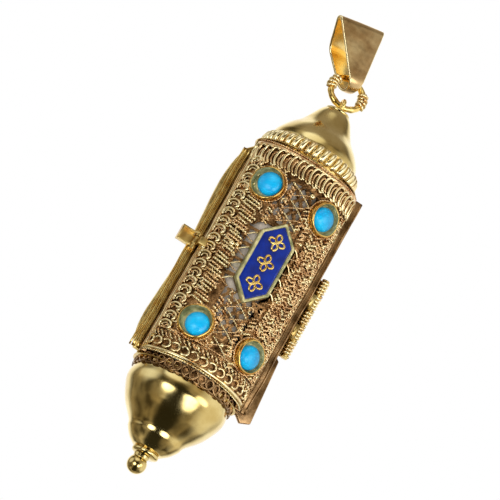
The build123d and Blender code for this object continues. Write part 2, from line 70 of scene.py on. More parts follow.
def mottled(name, light, dark, scale, roughness, metallic=1.0, bump=0.0, bump_scale=None,
            contrast=(0.35, 0.65)):
    """Material whose colour wanders between two tones, with a fine uneven surface when a bump is
    given.
    """
    material = bpy.data.materials.new(name)
    material.use_nodes = True
    tree = material.node_tree
    shader = tree.nodes["Principled BSDF"]
    shader.inputs["Metallic"].default_value = metallic
    shader.inputs["Roughness"].default_value = roughness
    place = tree.nodes.new("ShaderNodeTexCoord")
    noise = tree.nodes.new("ShaderNodeTexNoise")
    noise.inputs["Scale"].default_value = scale / MM
    noise.inputs["Detail"].default_value = 4
    tree.links.new(place.outputs["Object"], noise.inputs["Vector"])
    ramp = tree.nodes.new("ShaderNodeValToRGB")
    ramp.color_ramp.elements[0].position, ramp.color_ramp.elements[1].position = contrast
    ramp.color_ramp.elements[0].color = dark
    ramp.color_ramp.elements[1].color = light
    tree.links.new(noise.outputs["Fac"], ramp.inputs["Fac"])
    tree.links.new(ramp.outputs["Color"], shader.inputs["Base Color"])
    if bump:
        grain = tree.nodes.new("ShaderNodeTexNoise")
        grain.inputs["Scale"].default_value = (bump_scale or scale) / MM
        grain.inputs["Detail"].default_value = 2
        tree.links.new(place.outputs["Object"], grain.inputs["Vector"])
        relief = tree.nodes.new("ShaderNodeBump")
        relief.inputs["Distance"].default_value = bump * MM
        relief.inputs["Strength"].default_value = 1.0
        tree.links.new(grain.outputs["Fac"], relief.inputs["Height"])
        tree.links.new(relief.outputs["Normal"], shader.inputs["Normal"])
    return material


POLISHED = mottled("gold_dome", srgb(236, 216, 152), srgb(206, 180, 112), 0.35, 0.16,
                   bump=0.10, bump_scale=0.32)
BRIGHT = mottled("gold_coil", srgb(255, 230, 150), srgb(220, 176, 88), 0.9, 0.2)
FLAT_GOLD = mottled("gold_flat", srgb(248, 224, 148), srgb(196, 160, 90), 0.6, 0.34, bump=0.07,
                    bump_scale=1.2)
ROSE = mottled("gold_filigree", srgb(252, 216, 162), srgb(178, 126, 76), 0.8, 0.27,
               contrast=(0.3, 0.55))
# lighter copy of the same gold on wires, coils and edges that should look lit: painted highlight;
# which wires take it is set by pattern and partly at random
PALE = mottled("gold_pale_wire_painted_highlight", srgb(255, 238, 186), srgb(220, 178, 116), 0.7, 0.24,
               contrast=(0.3, 0.5))
# dark copy of the same gold for what lies behind and between wires: painted shade
SHADED = mottled("gold_backing_painted_shade", srgb(186, 142, 92), srgb(84, 58, 32), 0.9, 0.40, bump=0.25,
                 bump_scale=2.6)
# darker copy of the same gold for the rails, right flange and lower loops: painted shade
CHANNEL = mottled("gold_channel_painted_shade", srgb(184, 148, 104), srgb(104, 78, 48), 0.6, 0.26, bump=0.04,
                  bump_scale=1.0)
PATINA = mottled("gold_patina", srgb(214, 204, 150), srgb(136, 136, 92), 1.3, 0.5, metallic=0.7,
                 bump=0.08, bump_scale=2.6)
BEZEL_GOLD = mottled("gold_bezel_rim", srgb(240, 206, 118), srgb(190, 140, 66), 0.8, 0.22,
                     bump=0.05, bump_scale=1.6)
BAIL_OUT = mottled("gold_bail", srgb(232, 204, 150), srgb(176, 140, 92), 0.35, 0.24, bump=0.07,
                   bump_scale=0.55)
# paler copy of the bail's gold for the inside of the strap: painted highlight
BAIL_IN = mottled("gold_bail_inside_painted_highlight", srgb(255, 238, 178), srgb(250, 210, 120), 0.45, 0.22,
                  bump=0.05, bump_scale=0.5)
TURQUOISE = mottled("turquoise", srgb(6, 152, 196), srgb(4, 132, 182), 0.9, 0.28, metallic=0.0)
ENAMEL = mottled("enamel_blue", srgb(4, 34, 118), srgb(2, 22, 88), 0.8, 0.22, metallic=0.0,
                 bump=0.03, bump_scale=1.4)
PARCHMENT = mottled("parchment", srgb(196, 184, 168), srgb(164, 152, 136), 0.5, 0.8, metallic=0.0,
                    bump=0.03, bump_scale=2.0)
LINEN = mottled("linen_tie", srgb(206, 196, 172), srgb(160, 148, 122), 2.5, 0.9, metallic=0.0,
                bump=0.05, bump_scale=4.0)
FLOOR = mottled("floor_white", srgb(246, 246, 246), srgb(240, 240, 240), 0.01, 0.8, metallic=0.0)


# ---- mesh helpers ---------------------------------------------------------------------------
def add_mesh(name, parts, materials, body, replaces=()):
    """One object from (vertices, faces, material index) parts in millimetres."""
    vertices, faces, indices, start = [], [], [], 0
    for part_vertices, part_faces, index in parts:
        vertices.append(np.asarray(part_vertices, float))
        faces += [tuple(int(corner) + start for corner in face) for face in part_faces]
        indices += [index] * len(part_faces)
        start += len(part_vertices)
    mesh = bpy.data.meshes.new(name)
    mesh.from_pydata((np.concatenate(vertices) * MM).tolist(), [], faces)
    for material in materials:
        mesh.materials.append(material)
    mesh.polygons.foreach_set("material_index", indices)
    mesh.polygons.foreach_set("use_smooth", [True] * len(faces))
    mesh.update()
    piece = bpy.data.objects.new(name, mesh)
    bpy.context.scene.collection.objects.link(piece)
    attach(piece, body)
    if replaces:
        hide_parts(*replaces)


def grid_faces(rows, columns, closed_rows=False, closed_columns=False):
    """Quads over a rows x columns grid of vertices, wrapped round where it is closed."""
    row_count = rows if closed_rows else rows - 1
    column_count = columns if closed_columns else columns - 1
    faces = []
    for row in range(row_count):
        here, there = row * columns, (row + 1) % rows * columns
        for column in range(column_count):
            beside = (column + 1) % columns
            faces.append((here + column, here + beside, there + beside, there + column))
    return faces


def normalized(vectors):
    return vectors / np.maximum(np.linalg.norm(vectors, axis=-1, keepdims=True), 1e-9)


def resample(points, spacing):
    """Points at even spacing along a smooth curve through the given ones."""
    points = np.asarray(points, float)
    if len(points) > 2:
        ends = np.vstack([2 * points[0] - points[1], points, 2 * points[-1] - points[-2]])
        steps = np.linspace(0, 1, 9)[:-1, None]
        pieces = []
        for a, b, c, d in zip(ends, ends[1:], ends[2:], ends[3:]):
            pieces.append(b + 0.5 * steps * (c - a + steps * (2 * a - 5 * b + 4 * c - d
                          + steps * (3 * (b - c) + d - a))))
        points = np.vstack(pieces + [points[-1:]])
    travelled = np.concatenate([[0], np.cumsum(np.linalg.norm(np.diff(points, axis=0), axis=1))])
    count = max(int(round(travelled[-1] / spacing)), 2) + 1
    at = np.linspace(0, travelled[-1], count)
    return np.stack([np.interp(at, travelled, points[:, k]) for k in range(points.shape[1])], 1)


def tube(path, upright, radius, sides=8, twist=0.0, closed=False, lumps=0.0):
    """Wire along a path. With a twist (mm per turn) its section is the two lobes of a twisted
    pair; upright is the direction, per point, that its section is measured from."""
    path = np.asarray(path, float)
    if closed:
        tangent = np.roll(path, -1, 0) - np.roll(path, 1, 0)
    else:
        tangent = np.gradient(path, axis=0)
    tangent = normalized(tangent)
    upright = np.broadcast_to(upright, path.shape)
    side = normalized(np.cross(tangent, upright))
    up = np.cross(side, tangent)
    steps = np.linalg.norm(np.diff(path, axis=0), axis=1)
    travelled = np.concatenate([[0], np.cumsum(steps)])
    angles = np.linspace(0, 2 * math.pi, sides, endpoint=False)
    radii = np.full((len(path), sides), float(radius))
    turned = np.broadcast_to(angles, radii.shape)
    if twist:
        radii = radius * (0.66 + 0.34 * np.cos(2 * angles))[None, :] * np.ones((len(path), 1))
        turned = angles[None, :] + (2 * math.pi * travelled / twist)[:, None]
    if lumps:
        radii = radii * (1 + lumps * rng.standard_normal(len(path)))[:, None]
    vertices = (path[:, None] + radii[..., None] * (np.cos(turned)[..., None] * side[:, None]
                + np.sin(turned)[..., None] * up[:, None]))
    faces = grid_faces(len(path), sides, closed_rows=closed, closed_columns=True)
    if not closed:
        faces.append(tuple(range(sides))[::-1])
        faces.append(tuple(range((len(path) - 1) * sides, len(path) * sides)))
    return vertices.reshape(-1, 3), faces


def ball(centre, radius, rings=8, sides=12):
    """Small sphere with its poles along Z."""
    polar = np.linspace(0, math.pi, rings + 1)[1:-1]
    around = np.linspace(0, 2 * math.pi, sides, endpoint=False)
    body = np.stack([np.outer(np.sin(polar), np.cos(around)), np.outer(np.sin(polar),
                    np.sin(around)), np.outer(np.cos(polar), np.ones(sides))], -1).reshape(-1, 3)
    vertices = np.vstack([body, [[0, 0, 1], [0, 0, -1]]]) * radius + np.asarray(centre, float)
    faces = grid_faces(rings - 1, sides, closed_columns=True)
    last = (rings - 2) * sides
    faces += [(k, len(body), (k + 1) % sides) for k in range(sides)]
    faces += [(last + k, last + (k + 1) % sides, len(body) + 1) for k in range(sides)]
    return vertices, faces


def lathe(outline, centre=(0, 0), segments=128, wobble=0.0):
    """Outline of (radius, height) turned about a vertical axis, first point at one end."""
    outline = np.asarray(outline, float)
    around = np.linspace(0, 2 * math.pi, segments, endpoint=False)
    radii = outline[:, 0][:, None] * np.ones(segments)
    if wobble:
        waves = sum(np.cos(k * around + phase) * size for k, phase, size in
                    ((2, 0.4, 1.0), (3, 2.1, 0.7), (5, 4.0, 0.4)))
        radii = radii + wobble * waves[None, :] * np.minimum(outline[:, 0], 2)[:, None] / 2
    vertices = np.stack([centre[0] + radii * np.cos(around), centre[1] + radii * np.sin(around),
                         outline[:, 1][:, None] * np.ones(segments)], -1).reshape(-1, 3)
    return vertices, grid_faces(len(outline), segments, closed_columns=True)


def softened(node, material, body, width):
    """Copy of a CAD node with its sharp edges rounded, shown in the node's place."""
    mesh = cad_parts[node].data.copy()
    edited = bmesh.new()
    edited.from_mesh(mesh)
    bmesh.ops.remove_doubles(edited, verts=edited.verts, dist=1e-7)
    bmesh.ops.dissolve_limit(edited, angle_limit=math.radians(1), verts=edited.verts,
                             edges=edited.edges)
    edited.to_mesh(mesh)
    edited.free()
    mesh.materials.clear()
    mesh.materials.append(material)
    mesh.polygons.foreach_set("material_index", [0] * len(mesh.polygons))
    mesh.polygons.foreach_set("use_smooth", [True] * len(mesh.polygons))
    piece = bpy.data.objects.new(f"{node}_look", mesh)
    bpy.context.scene.collection.objects.link(piece)
    bevel = piece.modifiers.new("round", "BEVEL")
    bevel.width = width * MM
    bevel.segments = 3
    bevel.limit_method = "ANGLE"
    bevel.angle_limit = math.radians(35)
    bevel.harden_normals = True
    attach(piece, body)
    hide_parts(node)


# ---- the door's curved surface --------------------------------------------------------------
# u runs round the front from its middle line, v is the height above the door's middle
_turn = np.linspace(-math.pi / 2, math.pi / 2, 2001)
_x, _y = DOOR_HALF_WIDTH * np.sin(_turn), -DOOR_DEPTH * np.cos(_turn)
_length = np.concatenate([[0], np.cumsum(np.hypot(np.diff(_x), np.diff(_y)))])
_length -= _length[-1] / 2
EDGE_U = float(np.interp(math.acos((DOOR_FACE - RAIL_FRONT) / DOOR_DEPTH), _turn, _length))


def on_door(points, height=0.0):
    """(u, v) points on the door, raised by a height, and the surface's normals there."""
    points = np.asarray(points, float)
    turn = np.interp(points[:, 0], _length, _turn)
    normal = normalized(np.stack([np.sin(turn) / DOOR_HALF_WIDTH, -np.cos(turn) / DOOR_DEPTH,
                                  0 * turn], 1))
    place = np.stack([DOOR_HALF_WIDTH * np.sin(turn), DOOR_FACE - DOOR_DEPTH * np.cos(turn),
                      MIDDLE + points[:, 1]], 1)
    return place + normal * np.broadcast_to(height, len(points))[:, None], normal


def door_u(x):
    return float(np.interp(math.asin(x / DOOR_HALF_WIDTH), _turn, _length))


STONE_PLACES = {place: (door_u(x), side * STONE_LEVEL) for place, (x, side) in STONE_X.items()}


def clear_of_stones(u, v, margin=0.0):
    return all(math.hypot(u - stone_u, v - stone_v) > BEZEL_RADIUS + margin
               for stone_u, stone_v in STONE_PLACES.values())


def plaque_distance(u, v):
    """How far a place is outside the plaque's pointed outline; negative on the plaque."""
    rise = abs(v - PLAQUE_MIDDLE)
    slope = (PLAQUE_POINT - PLAQUE_SHOULDER) / PLAQUE_HALF_WIDTH
    slant = (rise - PLAQUE_POINT + abs(u) * slope) * 0.75
    return max(abs(u) - PLAQUE_HALF_WIDTH, slant)


# ---- filigree -------------------------------------------------------------------------------
class Wirework:
    """Wires laid on the door, gathered by material into pieces of up to 95000 faces."""

    def __init__(self):
        self.parts = {"rose": [], "pale": []}

    def lay(self, points, radius, tone="rose", twist=0.0, height=0.0, spacing=0.11, sides=8):
        path = resample(points, spacing)
        if twist:
            path = resample(points, min(spacing, twist / 7))
        place, normal = on_door(path, height)
        vertices, faces = tube(place, normal, radius, sides=sides, twist=twist)
        self.parts[tone].append((vertices, faces, 0))

    def grain(self, u, v, radius, tone="pale", height=0.05):
        place, _ = on_door([(u, v)], height)
        vertices, faces = ball(place[0], radius)
        self.parts[tone].append((vertices, faces, 0))

    def build(self, prefix, replaces):
        limit = 95000
        for tone, material in (("rose", ROSE), ("pale", PALE)):
            batch, count, number = [], 0, 1
            for part in self.parts[tone] + [None]:
                if part is None or count + len(part[1]) > limit:
                    add_mesh(f"{prefix}_{tone}_{number}", batch, [material], "door", replaces)
                    batch, count, number = [], 0, number + 1
                if part is not None:
                    batch.append(part)
                    count += len(part[1])


work = Wirework()
BEAD = 0.62                    # full turn of a twisted pair; its beads show at half of it


def jitter(size):
    return float(rng.uniform(-size, size))


def arch_column():
    """Pale hooped wires over dark hollows, in a column along the left edge."""
    pitch, half_width, middle = 1.03, 0.74, -5.95
    for row in range(-9, 11):
        v = row * pitch - 0.25
        if not clear_of_stones(middle, v, 0.35):
            continue
        centre = middle + jitter(0.06)
        sweep = np.radians(np.linspace(215, -50, 12))
        hoop = [(centre + half_width * math.cos(a), v + 0.50 * math.sin(a)) for a in sweep]
        work.lay(hoop, 0.135, "pale", height=0.12)
        inner = [(centre + 0.42 * math.cos(a), v - 0.1 + 0.3 * math.sin(a)) for a in sweep[1:-2]]
        work.lay(inner, 0.085, "pale", height=0.05)
        work.lay([(centre + 0.5, v - 0.35), (centre + 0.85, v - 0.5), (centre + 1.1, v - 0.3)],
                 0.09, "pale", height=0.06)


def strand_bundles():
    """Stacked short twisted strands, slanting down to the right in stepped bundles."""
    pitch = 0.41
    for row in range(-24, 26):
        v = row * pitch
        step = (row % 6) / 6
        left = -5.0 + 0.35 * step + jitter(0.05)
        right = left + 1.65 + 0.25 * math.sin(row * 1.9)
        if plaque_distance(right, v) < 0.5:
            right = -2.75
        samples = [(left + (right - left) * t, v - 0.42 * t) for t in (0, 0.5, 1)]
        if not all(clear_of_stones(u, w, 0.12) for u, w in samples):
            continue
        work.lay(samples, 0.18, "rose" if row % 4 == 0 else "pale", twist=BEAD, height=0.10)


def braid(u, low, high, width, lean, tone="rose", radius=0.175, margin=0.1):
    """Herringbone column: short twisted strands one above the other, all leaning one way."""
    pitch = 0.44
    for row in range(int((high - low) / pitch)):
        v = low + row * pitch + jitter(0.03)
        ends = [(u - width / 2 + jitter(0.04), v - lean / 2), (u, v + jitter(0.03)),
                (u + width / 2 + jitter(0.04), v + lean / 2)]
        if all(clear_of_stones(a, b, margin) and plaque_distance(a, b) > 0.12 for a, b in ends):
            shade = "pale" if rng.random() < 0.3 else tone
            work.lay(ends, radius, shade, twist=BEAD, height=0.06 + jitter(0.03))


def right_braids():
    """Columns of braid that cover the door to the right of the plaque."""
    for column in range(6):
        u = 3.05 + column * 0.72
        braid(u, -9.7, 10.2, 0.62, 0.34 if column % 2 else -0.34)


def outer_left_braid():
    braid(-4.2, 9.2, 10.3, 0.7, 0.3)
    braid(-3.4, 9.9, 10.4, 0.7, -0.3)


def middle_lattice():
    """Crossed twisted strands with openings between them, above and below the plaque."""
    for low, high in ((5.0, 10.1), (-9.8, -3.9)):
        for u in (-2.05, 1.95):
            braid(u + jitter(0.1), low - 0.6, high, 0.7, 0.36 if u > 0 else -0.36)
        braid(-1.2, low + 0.4, high, 0.55, -0.34)
        braid(1.1, low + 0.4, high - 1.3, 0.55, 0.34)
        for row in range(int((high - low) / 1.5) + 1):
            v = low + row * 1.5
            for side in (-1, 1):
                line = [(side * 1.25, v), (side * 0.1, v + 0.72), (-side * 0.9, v + 1.25)]
                if all(plaque_distance(a, b) > 0.02 and b < 10.3 for a, b in line):
                    work.lay(line, 0.11, "pale" if side > 0 else "rose", twist=0.5, height=0.12)


def chevrons():
    """Thin bent wires that bridge the openings beside the plaque."""
    for side, reach in ((-1, 1.05), (1, 0.85)):
        for row in range(4):
            v = 3.1 - row * 1.75 + side * 0.3
            inner, outer = side * 2.05, side * (2.05 + reach)
            work.lay([(inner, v + 0.25), (side * 2.45, v + 0.05), (outer, v - 0.45)], 0.085,
                     "pale", height=0.05)
            work.lay([(outer, v - 0.45), (side * 2.5, v - 0.75), (inner, v - 0.85)], 0.085,
                     "rose", twist=0.5, height=0.05)
            work.grain(outer, v - 0.45, 0.17, "rose", 0.06)


def top_border():
    """Two staggered rows of leaning C-scrolls below the upper rim."""
    pitch = 0.80
    count = int(EDGE_U / pitch)
    for column in range(-count, count + 1):
        u = column * pitch
        sweep = np.radians(np.linspace(60, 255, 10))
        outer = [(u + 0.50 * math.cos(a) + 0.22, 11.1 + 0.95 * math.sin(a)) for a in sweep]
        work.lay(outer, 0.135, "pale", height=0.14)
        inner = [(u + 0.30 * math.cos(a) + 0.42, 11.0 + 0.62 * math.sin(a)) for a in sweep]
        work.lay(inner, 0.10, "rose", height=0.06)
        hook = [(u + 0.3, 10.3), (u + 0.6, 10.08), (u + 0.76, 10.42), (u + 0.52, 10.66)]
        if all(clear_of_stones(a, b, 0.05) for a, b in hook):
            work.lay(hook, 0.105, "pale", height=0.10)
    work.lay([(u, 12.0) for u in np.linspace(-EDGE_U, EDGE_U, 9)], 0.13, "rose", twist=0.7,
             height=0.06, spacing=0.15)


def bottom_border():
    """Wheat-ear band above the lower rim: a row of short thick twisted strokes that all lean one
    way, with curls under every other one and a beaded wire over them."""
    pitch = 0.52
    count = int(EDGE_U / pitch)
    for column in range(-count, count + 1):
        u = column * pitch
        work.lay([(u - 0.28, -10.15), (u, -10.42 + jitter(0.04)), (u + 0.34, -10.8)], 0.15,
                 "pale" if column % 2 else "rose", height=0.10, twist=0.9)
        if column % 2:
            curl = [(u + 0.46 * math.cos(a), -11.35 + 0.42 * math.sin(a))
                    for a in np.radians(np.linspace(150, -120, 10))]
            work.lay(curl, 0.12, "pale", height=0.10)
    work.lay([(u, -9.85) for u in np.linspace(-EDGE_U, EDGE_U, 9)], 0.14, "rose", twist=BEAD,
             height=0.05, spacing=0.15)


def edge_wires():
    """Straight wires along the two sides of the arch, and one round every bezel."""
    for side in (-1, 1):
        for inset, radius, tone in ((0.12, 0.13, "pale"), (0.42, 0.10, "rose")):
            u = side * (EDGE_U - inset)
            work.lay([(u, -12.0), (u, 0), (u, 12.0)], radius, tone, height=0.05, spacing=0.5)
    for u, v in STONE_PLACES.values():
        ring = [(u + (BEZEL_RADIUS + 0.12) * math.cos(a), v + (BEZEL_RADIUS + 0.12) * math.sin(a))
                for a in np.linspace(0, 2 * math.pi, 33)]
        work.lay(ring, 0.12, "rose", twist=BEAD, height=0.05)


def loose_curls():
    """Little hooks of wire where the pattern leaves a bare place."""
    for _ in range(420):
        u, v = rng.uniform(-6.9, 6.9), rng.uniform(-9.6, 10.2)
        beside_plaque = abs(u) < 3.0 and -3.4 < v < 4.4
        if beside_plaque or abs(u) < 1.0 or not clear_of_stones(u, v, 0.3) \
                or plaque_distance(u, v) < 0.3:
            continue
        start, size = rng.uniform(0, 2 * math.pi), rng.uniform(0.14, 0.26)
        curl = [(u + size * math.cos(start + a), v + size * math.sin(start + a))
                for a in np.linspace(0, 3.9, 6)]
        work.lay(curl, 0.07, "pale" if rng.random() < 0.35 else "rose", height=0.14)
    for u, v, radius in ((0.94, 9.25, 0.32), (-3.85, 0.87, 0.34), (-3.3, 0.95, 0.26),
                         (-6.7, -0.45, 0.34), (-6.5, -0.85, 0.26), (2.35, 4.4, 0.2),
                         (0.3, -8.9, 0.26), (-0.7, -9.2, 0.22), (1.2, -8.6, 0.22),
                         (5.2, 5.9, 0.2), (4.6, 3.4, 0.22), (5.9, 2.7, 0.24)):
        work.grain(u, v, radius)


def is_solid(u, v):
    """Whether the backing is closed here, rather than opening onto the parchment."""
    from_plaque = plaque_distance(u, v)
    if from_plaque < -0.25:
        return False
    if not clear_of_stones(u, v, -0.2):
        return False
    if from_plaque < (0.95 if u < 0 else 0.4) and -3.3 < v < 4.5:
        return from_plaque < 0.06 or (v * 1.14 + (0.4 if u < 0 else 0)) % 2.0 < 0.35
    if abs(u) < 2.3 and (5.0 < v < 9.6 or -8.0 < v < -3.4):
        column = 0.75 * round(u / 0.75)
        row = 1.5 * round((v - 0.75 * (round(u / 0.75) % 2)) / 1.5) + 0.75 * (
            round(u / 0.75) % 2)
        return abs(u - column) / 0.42 + abs(v - row) / 0.62 > 1
    if -4.9 < u < -2.9 and -5.0 < v < 6.2:
        return (v * 0.57 + 0.31 * u) % 1.0 > 0.16
    return True


def backing():
    """Thin sheet behind the wires, cut away where the door is open; its dark gold is painted shade
    between the wires.
    """
    cell = 0.13
    us = np.arange(-EDGE_U, EDGE_U + cell / 2, cell)
    vs = np.arange(-12.05, 12.05 + cell / 2, cell)
    points = np.array([(u, v) for v in vs for u in us])
    parts = []
    for depth, flip in ((-0.08, False), (-0.30, True)):
        place, _ = on_door(points, depth)
        faces = []
        for row in range(len(vs) - 1):
            for column in range(len(us) - 1):
                if is_solid(us[column] + cell / 2, vs[row] + cell / 2):
                    a = row * len(us) + column
                    face = (a, a + 1, a + 1 + len(us), a + len(us))
                    faces.append(face[::-1] if flip else face)
        parts.append((place, faces, 0))
    add_mesh("filigree_backing", parts, [SHADED], "door", ("door_filigree",))


for pattern in (arch_column, strand_bundles, right_braids, outer_left_braid, middle_lattice,
                chevrons, top_border, bottom_border, edge_wires, loose_curls):
    pattern()
work.build("filigree", ("door_filigree",))
backing()


# ---- door rims ------------------------------------------------------------------------------
def rim(name, node, level, bright, sag):
    """Wires that close the end of the arch; in front they stand a little inside its corners."""
    us = np.linspace(-EDGE_U, EDGE_U, 60)
    inwards = -math.copysign(sag, level) * np.cos(us / EDGE_U * math.pi / 2) ** 2
    parts = []
    for offset, height, radius, twist in ((0.0, 0.02, 0.2, 0.0), (-0.3, 0.05, 0.12, 0.6),
                                          (0.0, -0.3, 0.2, 0.0)):
        line = np.stack([us, level + math.copysign(offset, level) + inwards], 1)
        place, normal = on_door(resample(line, 0.09 if twist else 0.2), height)
        parts.append((*tube(place, normal, radius, sides=12, twist=twist), 0))
    add_mesh(name, parts, [bright], "door", (node,))


rim("top_rim_wire", "door_top_rim", 12.2, ROSE, 0.1)
# the bottom rim's pale gold is a painted highlight
rim("bottom_rim_wire", "door_bottom_rim", -12.2, PALE, 0.2)


# ---- stones and bezels ----------------------------------------------------------------------
def stone_frame(x, side):
    """Origin and axes (across, up, out) of a stone's seat on the door."""
    origin, normal = on_door([(door_u(x), side * STONE_LEVEL)])
    out = normal[0]
    across = np.cross((0, 0, 1), out)
    return origin[0], across, np.array((0.0, 0.0, 1.0)), out


def disc_rings(rings, segments=72, wave=0.0, seed=0):
    """Stack of (radius, height) rings about a seat's axis, as local points."""
    around = np.linspace(0, 2 * math.pi, segments, endpoint=False)
    hand = (np.cos(3 * around + seed) + 0.6 * np.cos(5 * around + 2 * seed)
            + 0.4 * np.sin(8 * around + seed)) * wave
    points = [np.stack([(radius + hand * (radius > 1.5)) * np.cos(around),
                        (radius + hand * (radius > 1.5)) * np.sin(around),
                        np.full(segments, height) + hand * 0.6 * (height > 0.2)], 1)
              for radius, height in rings]
    return np.vstack(points), grid_faces(len(rings), segments, closed_columns=True)


def in_seat(points, seat, shift=(0, 0)):
    origin, across, up, out = seat
    return (origin + (points[:, :1] + shift[0]) * across + (points[:, 1:2] + shift[1]) * up
            + points[:, 2:] * out)


SHIFTS = {"upper_left": (0.18, 0.12), "upper_right": (0.0, -0.02),
          "lower_left": (0.24, -0.12), "lower_right": (0.1, -0.1)}
for number, (place, (x, side)) in enumerate(STONE_X.items()):
    seat = stone_frame(x, side)
    wall, faces = disc_rings([(1.86, -0.5), (1.84, 0.1), (1.80, 0.40), (1.72, 0.52),
                              (1.62, 0.50), (1.57, 0.36), (1.52, 0.0), (1.40, -0.22),
                              (1.2, -0.27), (0.6, -0.28), (0.01, -0.28)],
                             wave=0.022, seed=number * 1.7)
    inner = [index for index, face in enumerate(faces) if face[0] // 72 >= 4]
    outer = [faces[k] for k in range(len(faces)) if k not in set(inner)]
    points = in_seat(wall, seat)
    add_mesh(f"bezel_{place}_cup", [(points, outer, 0), (points, [faces[k] for k in inner], 1)],
             [BEZEL_GOLD, PATINA], "door", (f"bezel_{place}",))
    crown = [(1.25, -0.3), (1.26, 0.02)] + [(1.26 * math.cos(a), 0.02 + 0.76 * math.sin(a))
             for a in np.radians(np.linspace(8, 89.5, 14))]
    points, faces = disc_rings(crown)
    add_mesh(f"cabochon_{place}", [(in_seat(points, seat, SHIFTS[place]), faces, 0)],
             [TURQUOISE], "door", (f"turquoise_{place}",))


# ---- plaque ---------------------------------------------------------------------------------
def plaque_ring(shrink, y, corner=0.12):
    """Closed outline of the plaque, inset by shrink, with slightly rounded corners."""
    half_width, point = PLAQUE_HALF_WIDTH - shrink, PLAQUE_POINT - 1.25 * shrink
    shoulder = PLAQUE_SHOULDER - 0.35 * shrink
    corners = np.array([(0, point), (half_width, shoulder), (half_width, -shoulder),
                        (0, -point), (-half_width, -shoulder), (-half_width, shoulder)])
    ring = []
    for before, here, after in zip(np.roll(corners, 1, 0), corners, np.roll(corners, -1, 0)):
        start = here + corner * normalized(before - here)
        end = here + corner * normalized(after - here)
        for t in (0, 0.33, 0.67, 1):
            ring.append((1 - t) ** 2 * start + 2 * t * (1 - t) * here + t ** 2 * end)
    ring = np.array(ring)
    return np.column_stack([ring[:, 0], np.full(len(ring), y), MIDDLE + PLAQUE_MIDDLE + ring[:, 1]])


def loft(rings, capped=False):
    faces = [face[::-1] for face in grid_faces(len(rings), len(rings[0]), closed_columns=True)]
    if capped:
        last = (len(rings) - 1) * len(rings[0])
        faces.append(tuple(range(last, last + len(rings[0])))[::-1])
    return np.vstack(rings), faces


tray = [plaque_ring(0.0, -4.85), plaque_ring(0.0, -5.62), plaque_ring(0.05, -5.73),
        plaque_ring(0.12, -5.77), plaque_ring(0.22, -5.77), plaque_ring(0.3, -5.73),
        plaque_ring(0.34, -5.6), plaque_ring(0.36, -5.4)]
add_mesh("plaque_frame", [(*loft(tray), 0)], [PATINA], "door", ("plaque_tray",))
enamel = [plaque_ring(0.30, -5.45), plaque_ring(0.33, -5.6), plaque_ring(0.40, -5.625),
          plaque_ring(0.55, -5.635), plaque_ring(0.9, -5.64)]
add_mesh("plaque_enamel_field", [(*loft(enamel, capped=True), 0)], [ENAMEL], "door",
         ("plaque_enamel",))


def ornament(name, node, level):
    """Generic four-petal ornament, each petal a low hollow loop of gold."""
    centre = np.array((0.0, ORNAMENT_Y, MIDDLE + PLAQUE_MIDDLE + level))
    parts = []
    for turn in range(4):
        angle = math.radians(90 * turn)
        around = np.linspace(0, 2 * math.pi, 28, endpoint=False)
        along, across = 0.50 + 0.38 * np.cos(around), 0.27 * np.sin(around)
        petal = np.column_stack([along * math.cos(angle) - across * math.sin(angle),
                                 np.zeros(28), along * math.sin(angle)
                                 + across * math.cos(angle)])
        parts.append((*tube(centre + petal, (0, -1, 0), 0.12, closed=True), 0))
    parts.append((*ball(centre, 0.17), 0))
    add_mesh(name, parts, [BRIGHT], "door", (node,))


for place, level in (("top", 2.4), ("middle", 0.0), ("bottom", -2.4)):
    ornament(f"ornament_{place}", f"plaque_ornament_{place}", level)

# ---- domes, collars and finial --------------------------------------------------------------
UPPER_OUTLINE = [(4.8, 14.6), (4.58, 15.3), (3.9, 16.35), (2.95, 17.4), (2.38, 18.3), (1.8, 19.35),
                 (1.42, 19.85)]
LOWER_OUTLINE = [(5.3, -13.7), (5.44, -14.5), (5.28, -15.4), (4.45, -17.1), (3.15, -18.7),
                 (2.86, -19.4), (2.25, -20.2), (1.55, -20.75)]


def dome(name, outline, skirt_end, node):
    """Spun dome: straight skirt, swelling and waist, closed at its tip."""
    line = resample(outline, 0.18)
    skirt = [(outline[0][0], height) for height in (skirt_end, outline[0][1] * 0.995)]
    tip = [(outline[-1][0] - 0.1, outline[-1][1]), (0.02, outline[-1][1])]
    profile = np.vstack([skirt, line, tip])
    profile[:, 1] += MIDDLE
    vertices, faces = lathe(profile, wobble=0.03)
    if skirt_end < 0:
        faces = [face[::-1] for face in faces]
    add_mesh(name, [(vertices, faces, 0)], [POLISHED], "case", (node,))


dome("upper_dome_shell", UPPER_OUTLINE, SKIRT_END, "upper_dome")
dome("lower_dome_shell", LOWER_OUTLINE, -SKIRT_END, "lower_dome")


def turned(name, outline, node, centre=(0, 0)):
    profile = np.array(outline, float)
    profile[:, 1] += MIDDLE
    vertices, faces = lathe(profile, centre=centre, segments=64)
    add_mesh(name, [(vertices, faces, 0)], [POLISHED], "case", (node,))


turned("neck_ring", [(1.2, 19.8)] + [(1.2 + 0.16 * math.sin(a), 19.97 - 0.16 * math.cos(a))
       for a in np.linspace(0, math.pi, 9)] + [(0.6, 20.16), (0.02, 20.2)], "neck_collar")
turned("finial_ring", [(1.4, -20.7)] + [(1.12 + 0.33 * math.sin(a), -21.05 + 0.3 * math.cos(a))
       for a in np.linspace(0.2, math.pi - 0.1, 11)] + [(1.0, -21.42), (0.02, -21.45)],
       "finial_collar")
turned("finial_tip", [(0.82, -21.3), (0.8, -21.62)]
       + [(1.02 * math.sin(a), -22.45 + 1.02 * math.cos(a))
          for a in np.linspace(0.85, math.pi - 0.02, 18)], "finial_ball", centre=(-0.2, 0))


